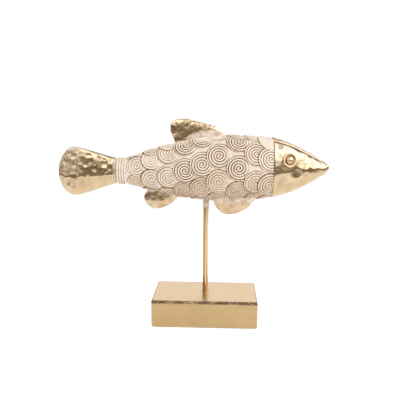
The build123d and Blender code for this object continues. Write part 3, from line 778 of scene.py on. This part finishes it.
def makeCrest():
    start = headSpec["x"][0]
    x = np.linspace(start, crestEnd, crestSpec["rings"])
    centre, tall = headAt(x)[:2]
    depth = crestAt(x, "halfDepth")
    top = centre + tall + crestAt(x, "rise")
    rings = ovalRings(x, top - depth, depth, crestAt(x, "halfWidth"), crestSpec["around"])
    crest = ringSkin("headCrest", rings)
    root = ramp(pointsOf(crest)[:, 0], start + crestSpec["rootReach"], start)
    # the crest's root takes the seam's painted shadow
    hammer(crest, crestSpec, gilt, 1.0, 0.0, crestSpec["dulled"] + crestSpec["rootDulled"] * root)
    dress(crest, "fish", "head_crest")


tailSpec = {
    "outline": (  # place along the fish, half height, half thickness, centre, from the collar to the tip
        (-90, 12.2, 7.4, 162.6), (-97, 13.9, 6.9, 162.4), (-108, 17.2, 6.3, 162.1),
        (-120.8, 21.2, 5.8, 161.7), (-131, 24.1, 5.4, 161.5), (-138.5, 25.3, 5.0, 161.3),
        (-143.8, 24.3, 4.6, 161.0), (-147.7, 21.5, 4.2, 160.5), (-151.5, 16.8, 3.6, 160.2),
        (-154.1, 11.1, 2.8, 159.9), (-155.5, 5.0, 1.6, 159.8), (-155.9, 0.5, 0.4, 159.7),
    ),
    "widest": -0.25,  # how far down the half height the tail is thickest
    "keel": 1.3,  # how straight the lower half runs to its edge
    "rings": 170, "around": 200,
    "washFrom": -102, "washFull": -91.5,
    "haze": 0.47, "hazeFrom": -106, "hazeFull": -134, "hazeLow": 153, "hazeHigh": 159,  # cream at the upper rear: partly overspray, partly a painted highlight
    "edgeLine": 0.9, "edgeLineEnd": -148, "edgeGrime": 0.7,  # a darker line along the upper edge
    "topFade": 5, "lowFade": 14, "edgeLeast": 0.12,  # where dents die away
    "tip": -156, "tipFade": 5, "tipLeast": 0.1,
    "dentSize": 7.2, "dentDepth": 0.85, "swellSize": 16, "swellDepth": 0.9, "seed": 52,
}


def makeTail():
    spec = tailSpec
    x, tall, wide, centre = smoothPath(spec["outline"], spec["rings"]).T
    rings = ovalRings(x, centre, tall, wide, spec["around"])
    up = (rings[:, :, 2] - centre[:, None]) / tall[:, None]
    fromWidest = up - spec["widest"]
    upper = np.sqrt(np.clip(1 - (fromWidest / (1 - spec["widest"])) ** 2, 0, 1))
    lower = 1 - np.clip(-fromWidest / (1 + spec["widest"]), 0, 1) ** spec["keel"]
    rings[:, :, 1] = np.sign(rings[:, :, 1]) * wide[:, None] * np.where(fromWidest > 0, upper, lower)
    tail = ringSkin("tailFin", rings)
    places = pointsOf(tail)
    along, up = places[:, 0], places[:, 2]
    high = np.interp(along, x[::-1], (centre + tall)[::-1])
    low = np.interp(along, x[::-1], (centre - tall)[::-1])
    # a darker line painted along the upper edge
    topEdge = ramp(up, high - spec["edgeLine"], high) * (along > spec["edgeLineEnd"])
    fromEdge = np.minimum((high - up) / spec["topFade"], (up - low) / spec["lowFade"])
    strength = ramp(along, spec["tip"], spec["tip"] + spec["tipFade"], spec["tipLeast"])
    strength = strength * np.clip(fromEdge, spec["edgeLeast"], 1)
    # cream at the upper rear: partly overspray, partly a painted highlight
    rear = ramp(along, spec["hazeFrom"], spec["hazeFull"]) * ramp(up, spec["hazeLow"], spec["hazeHigh"])
    wash = np.maximum(ramp(along, spec["washFrom"], spec["washFull"]), spec["haze"] * rear)
    hammer(tail, spec, gilt, strength, wash, topEdge * spec["edgeGrime"])
    dress(tail, "fish", "tail_fin")


collarSpec = {
    "start": -93.2, "pitch": 2.5, "beads": 3, "bead": 1.3, "beadSteps": 14, "ridge": 12.9, "flatten": 0.71,
    "centre": 162.1, "around": 160,
    "uneven": 0.18, "wander": 0.12, "skew": 0.15,  # out of round, from bead to bead, and along
    "gapCream": 0.1, "crownCream": 0.85,
}


def makeCollar():  # rounded turns side by side, each a little uneven
    spec = collarSpec
    share = np.linspace(0, spec["beads"], spec["beads"] * spec["beadSteps"] + 1)
    x = spec["start"] + share * spec["pitch"]
    arch = np.sqrt(np.clip(1 - (2 * (share % 1.0) - 1) ** 2, 0, 1))
    angle = np.linspace(0, 2 * math.pi, spec["around"], endpoint=False)
    uneven = spec["uneven"] * np.sin(3 * angle + 1)[None, :]
    uneven = uneven + spec["wander"] * np.sin(7 * angle[None, :] + share[:, None] * 2)
    size = spec["ridge"] + (spec["bead"] * arch)[:, None] + uneven
    rings = np.zeros((len(x), len(angle), 3))
    rings[:, :, 0] = x[:, None] + spec["skew"] * np.sin(2 * angle + 0.6)[None, :]
    rings[:, :, 1] = -size * np.cos(angle) * spec["flatten"]
    rings[:, :, 2] = spec["centre"] + size * np.sin(angle)
    collar = ringSkin("tailCollar", rings)
    cream = np.repeat(spec["gapCream"] + spec["crownCream"] * arch, len(angle))
    storeOnPoints(collar, "ridge", np.concatenate([cream, (spec["gapCream"], spec["gapCream"])]))
    collar.data.materials.append(whitewash)
    dress(collar, "fish", "tail_collar")


# Fins: lens-edged plates on a closed outline in X and Z, thicker at the root

def finSkin(name, outline, spec):
    crowding, fullness = 0.8, 3.2  # rings close up at the edge, and the faces swell quickly from it
    centre = np.array(spec["middle"], float)
    around, rings = len(outline), spec["rings"]
    vertices = [(p[0], 0.0, p[1]) for p in outline]  # the edge itself
    faces = []
    for side in (-1, 1):
        first = len(vertices)
        for ring in range(1, rings + 2):
            share = math.cos(0.5 * math.pi * ring / (rings + 1)) ** crowding
            points = centre + (outline - centre) * share if ring <= rings else [centre]
            for p in points:
                lean = 1 + spec["rootSwell"] * min(1, max(-1, (p[1] - centre[1]) / spec["swellSpan"]))
                out = side * lean * spec["halfThickness"] * (1 - share**fullness) ** 0.5
                vertices.append((p[0], out, p[1]))
        faces.extend((j, (j + 1) % around, first + (j + 1) % around, first + j) for j in range(around))
        faces.extend(gridFaces(first, rings, around, True))
        faces.extend(fanFaces(first + (rings - 1) * around, around, len(vertices) - 1))
    return closedMesh(name, vertices, faces)


def closedOutline(spec):  # smooth outer edge, straight root
    edge = smoothPath(spec["outline"], spec["edgePoints"])
    root = np.linspace(edge[-1], edge[0], spec["edgePoints"] // 5)[1:-1]
    return np.concatenate([edge, root])


dorsalSpec = {
    "outline": (
        (23.9, 194.6), (19.3, 202.4), (10.8, 208.4), (-2.0, 212.5), (-12.8, 215.2), (-23.6, 217.0),
        (-31.4, 216.1), (-37.1, 211.4), (-37.7, 205.4), (-34.4, 196.0), (-31, 188.0),
    ),
    "edgePoints": 210, "rings": 30,
    "middle": (-10, 203), "halfThickness": 3.3, "rootSwell": 0.1, "swellSpan": -12,
    "washFrom": 10.5, "washFull": 3.0,  # height above the back
    "sprayFrom": -32, "sprayFull": -8,  # the spray reaches higher at the front
    "bareEdge": 2.6, "edgeWash": 0.3,  # gold stays on the rim
    "dentSize": 4.2, "dentDepth": 0.3, "swellSize": 9, "swellDepth": 0.6, "seed": 83,
}


def makeDorsal():
    spec = dorsalSpec
    outline = closedOutline(spec)
    fin = finSkin("dorsalFin", outline, spec)
    places = pointsOf(fin)
    centre, tall = bodyAt(places[:, 0])[:2]
    wash = ramp(places[:, 2] - centre - tall, spec["washFrom"], spec["washFull"])
    front = ramp(places[:, 0], spec["sprayFrom"], spec["sprayFull"])
    gaps = places[:, None, (0, 2)] - outline[None, :, :2]
    fromEdge = np.sqrt((gaps**2).sum(axis=2).min(axis=1))
    hammer(fin, spec, gilt, 1.0, wash * front * np.clip(fromEdge / spec["bareEdge"], spec["edgeWash"], 1))
    dress(fin, "fish", "dorsal_fin")


pelvicSpec = {
    "outline": (
        (50.6, 7.8), (53, 2.0), (47.3, -7.0), (37.8, -15.2), (26.4, -18.5), (17.9, -17.4), (11.6, -12.4),
        (7.4, -2.4), (8.8, 7.8),
    ),
    "edgePoints": 170, "rings": 26,
    "middle": (30, -4), "root": (8.6, 137.3), "splay": 3.0,
    "halfThickness": 3.0, "rootSwell": 0.35, "swellSpan": 12,
    "washFrom": -16, "washFull": 3,
    "dentSize": 7, "dentDepth": 0.18, "swellSize": 14, "swellDepth": 0.4, "seed": 17,
}
analSpec = {
    "outline": (
        (-31.3, 8.9), (-27.9, 0.0), (-31.8, -7.0), (-43.3, -15.0), (-51.4, -17.2), (-57.7, -15.9),
        (-62.9, -11.4), (-65.3, -5.0), (-61.9, 1.9), (-52.6, 8.9),
    ),
    "edgePoints": 170, "rings": 26,
    "middle": (-46, -4), "root": (4.2, 140.2), "splay": 3.0,
    "halfThickness": 2.8, "rootSwell": 0.3, "swellSpan": 12,
    "washFrom": -3, "washFull": 6,
    "dentSize": 6, "dentDepth": 0.2, "swellSize": 12, "swellDepth": 0.4, "seed": 64,
}


def makePairedFin(name, spec, node, side):
    fin = finSkin(name, closedOutline(spec), spec)
    hammer(fin, spec, gilt, 1.0, ramp(pointsOf(fin)[:, 2], spec["washFrom"], spec["washFull"]))
    place = Matrix.Translation((0, side * spec["root"][0] * mm, spec["root"][1] * mm))
    fin.data.transform(place @ Matrix.Rotation(math.radians(side * spec["splay"]), 4, "X"))
    dress(fin, "fish", node)


def makePairedFins():
    for sideName, side in (("right", -1), ("left", 1)):
        makePairedFin("pelvicFin." + sideName, pelvicSpec, "pelvic_fin_" + sideName, side)
        makePairedFin("analFin." + sideName, analSpec, "anal_fin_" + sideName, side)


# Base: folded sheet with soft edges that has buckled a little

baseSpec = {
    "length": 112, "depth": 62, "low": 0.4, "high": 30.0, "round": 2.0,
    "foldLow": 3.1, "foldLowSoft": 0.4, "foldHigh": 0.3, "foldHighSoft": 0.3,  # painted dark reflection line, below the top
    "foldBack": 2.8, "foldBackSoft": 0.8, "foldBackShare": 0.75,  # and how far it runs on to the top
    "cell": 0.9, "edgeCells": 6,
    "lip": 0.5, "lipPlace": 4.5, "lipWidth": 0.9,  # the turned-up edge of the hole round the rod
    "dentSize": 44, "dentDepth": 0.12, "swellSize": 26, "swellDepth": 0.25, "seed": 90,
}


def edgeSpacing(half, cell, radius, edgeCells):  # fine steps over the rounded edge, even ones between
    flat = np.linspace(-(half - radius), half - radius, max(3, int((half - radius) * 2 / cell)))
    bend = half - radius + radius * np.sin(np.linspace(0, 0.5 * math.pi, edgeCells + 1))[1:]
    return np.concatenate([-bend[::-1], flat, bend])


def makeBaseSkin(half, middle):  # six gridded sides, rounded where they meet
    steps = [edgeSpacing(h, baseSpec["cell"], baseSpec["round"], baseSpec["edgeCells"]) for h in half]
    vertices, faces = [], []
    for axis in range(3):
        first, second = [k for k in range(3) if k != axis]
        for side in (-1, 1):
            start = len(vertices)
            grid = np.stack(np.meshgrid(steps[first], steps[second], indexing="ij"), axis=-1)
            cube = np.zeros((*grid.shape[:2], 3))
            cube[..., (first, second)] = grid
            cube[..., axis] = side * half[axis]
            inner = np.clip(cube, -(half - baseSpec["round"]), half - baseSpec["round"])
            outward = cube - inner
            outward /= np.linalg.norm(outward, axis=-1, keepdims=True)
            vertices.extend((inner + outward * baseSpec["round"] + middle).reshape(-1, 3).tolist())
            faces.extend(gridFaces(start, *grid.shape[:2], False))
    vertices = np.array(vertices)
    fromRod = np.hypot(vertices[:, 0], vertices[:, 1])
    lip = bell(fromRod, baseSpec["lipPlace"], baseSpec["lipWidth"]) * (vertices[:, 2] > middle[2])
    vertices[:, 2] += baseSpec["lip"] * lip
    return closedMesh("baseCladding", vertices, faces)


def makeBase():
    spec = baseSpec
    half = np.array((spec["length"], spec["depth"], spec["high"] - spec["low"])) / 2
    base = makeBaseSkin(half, np.array((0, 0, (spec["high"] + spec["low"]) / 2)))
    places = pointsOf(base)
    below = spec["high"] - places[:, 2]
    # painted dark reflection along the rounded top edge, and on strips of the top by the front and back
    fold = ramp(below, spec["foldLow"], spec["foldLow"] - spec["foldLowSoft"])
    fold = fold * ramp(below, spec["foldHigh"], spec["foldHigh"] + spec["foldHighSoft"])
    line = half[1] - spec["foldBack"]
    strip = ramp(np.abs(places[:, 1]), line, line + spec["foldBackSoft"]) * (below < spec["round"])
    hammer(base, spec, brassSheet, 1.0, 0.0, np.maximum(fold, strip * spec["foldBackShare"]))
    dress(base, "stand", "base_cladding")


makeBody()
makeHead()
makeCrest()
makeTail()
makeCollar()
makeDorsal()
makePairedFins()
makeBase()

# Solids that show as they are
for node, material in (
    ("support_rod", rodLacquer), ("base_felt", felt), ("base_core", pine), ("rod_ferrule", turnedBrass),
    ("rod_screw", zincSteel), ("rod_washer", zincSteel), ("eye_ring_left", rubbedGilt),
    ("eye_ring_right", rubbedGilt), ("eye_bead_left", rubbedGilt), ("eye_bead_right", rubbedGilt),
):
    solid = nodes[node]
    solid.data.materials.clear()
    solid.data.materials.append(material)
print("solids finished")


# Stage: pale floor, soft light, camera

floorSpec = {
    "radius": 0.6, "corners": 96, "colour": "#F2F1EF", "rough": 0.9, "specular": 0.1,
    "glow": 0.32, "seenGlow": 0.55,  # whiter to the camera than to the object
}


def makeFloor():  # a round paper table, with a dark room beyond it for the gold to mirror
    radius, corners = floorSpec["radius"], floorSpec["corners"]
    turns = [2 * math.pi * k / corners for k in range(corners)]
    mesh = bpy.data.meshes.new("floor")
    edge = [(radius * math.cos(t), radius * math.sin(t), 0) for t in turns]
    mesh.from_pydata(edge, [], [list(range(corners))])
    material, add = startMaterial("paperFloor")
    seen = add("ShaderNodeLightPath").outputs["Is Camera Ray"]
    glow = add("ShaderNodeMapRange", {
        "Value": seen, "To Min": floorSpec["glow"], "To Max": floorSpec["seenGlow"],
    })
    shader = add("ShaderNodeBsdfPrincipled", {
        "Base Color": linearColour(floorSpec["colour"]), "Roughness": floorSpec["rough"],
        "Specular IOR Level": floorSpec["specular"],
        "Emission Color": (1, 1, 1, 1), "Emission Strength": glow,
    })
    add("ShaderNodeOutputMaterial", {"Surface": shader})
    mesh.materials.append(material)
    floor = addObject("floor", mesh)


worldSpec = {
    "dark": 0.26, "sky": 0.7, "horizon": 0.02, "bright": 0.3,
    "room": ((0.0, "#F6DABC"), (1.0, "#FFFAF3")),  # brown walls, white above
}


def makeWorld():  # white above, dim round the horizon, white behind the object where the camera looks
    world = bpy.data.worlds.new("studio")
    world.use_nodes = True
    world.node_tree.nodes.clear()
    add = partial(addNode, world.node_tree)
    way = add("ShaderNodeTexCoord").outputs["Generated"]
    height = add("ShaderNodeSeparateXYZ", {0: way}).outputs["Z"]
    share = add("ShaderNodeMapRange", {
        "Value": height, "From Min": worldSpec["horizon"], "From Max": worldSpec["bright"],
    }, interpolation_type="SMOOTHSTEP")
    colour = add("ShaderNodeValToRGB", {"Fac": share}, worldSpec["room"])
    glow = add("ShaderNodeMapRange", {
        "Value": share, "To Min": worldSpec["dark"], "To Max": worldSpec["sky"],
    })
    room = add("ShaderNodeBackground", {"Color": colour, "Strength": glow})
    paper = add("ShaderNodeBackground", {"Color": (1, 1, 1, 1), "Strength": 1.0})
    seen = add("ShaderNodeLightPath").outputs["Is Camera Ray"]
    mixed = add("ShaderNodeMixShader", {0: seen, 1: room, 2: paper})
    add("ShaderNodeOutputWorld", {"Surface": mixed})
    bpy.context.scene.world = world


lightAim = (0, 0, 0.16)
lightSpecs = {  # a panel shows in the gold and lights nothing else
    "leftSoftbox": {"place": (-0.45, -0.86, 0.9), "size": (0.8, 0.6), "radiance": 1.8, "panel": False},
    "rightSoftbox": {"place": (0.72, -0.7, 0.98), "size": (0.9, 1.1), "radiance": 2.6, "panel": False},
    "backSoftbox": {"place": (0.1, 1.0, 0.55), "size": (1.0, 0.6), "radiance": 0.84, "panel": False},
    "noseSidePanel": {"place": (0.9, 0.0, 0.85), "size": (1.0, 1.0), "radiance": 1.9, "panel": True},
}


def makeLights():
    for name, spec in lightSpecs.items():
        data = bpy.data.lights.new(name, "AREA")
        data.shape = "RECTANGLE"
        data.size, data.size_y = spec["size"]
        data.energy = spec["radiance"] * math.pi * spec["size"][0] * spec["size"][1]
        light = addObject(name, data)
        light.location = spec["place"]
        light.rotation_euler = (Vector(lightAim) - light.location).to_track_quat("-Z", "Y").to_euler()
        light.visible_camera = False
        light.visible_diffuse = not spec["panel"]


cameraSpec = {
    "place": (15.8, -508.6, 226.8), "pitch": 11.48, "yaw": -1.54, "roll": -0.54,  # mm and degrees
    "focalPixels": 487.6, "imagePixels": 416, "sensor": 36,
}


def makeCamera():
    data = bpy.data.cameras.new("camera")
    data.sensor_fit = "HORIZONTAL"
    data.sensor_width = cameraSpec["sensor"]
    data.lens = cameraSpec["focalPixels"] / cameraSpec["imagePixels"] * data.sensor_width
    pitch, yaw, roll = [math.radians(cameraSpec[key]) for key in ("pitch", "yaw", "roll")]
    ahead = Vector((math.sin(yaw) * math.cos(pitch), math.cos(yaw) * math.cos(pitch), -math.sin(pitch)))
    level = Vector((math.cos(yaw), -math.sin(yaw), 0))
    down = ahead.cross(level)
    right = math.cos(roll) * level + math.sin(roll) * down
    below = -math.sin(roll) * level + math.cos(roll) * down
    camera = addObject("camera", data)
    axes = Matrix((right, -below, -ahead)).transposed()
    camera.matrix_world = Matrix.Translation(Vector(cameraSpec["place"]) * mm) @ axes.to_4x4()
    bpy.context.scene.camera = camera


makeFloor()
makeWorld()
makeLights()
makeCamera()
bpy.context.scene.view_settings.view_transform = "Standard"
print("stage set")
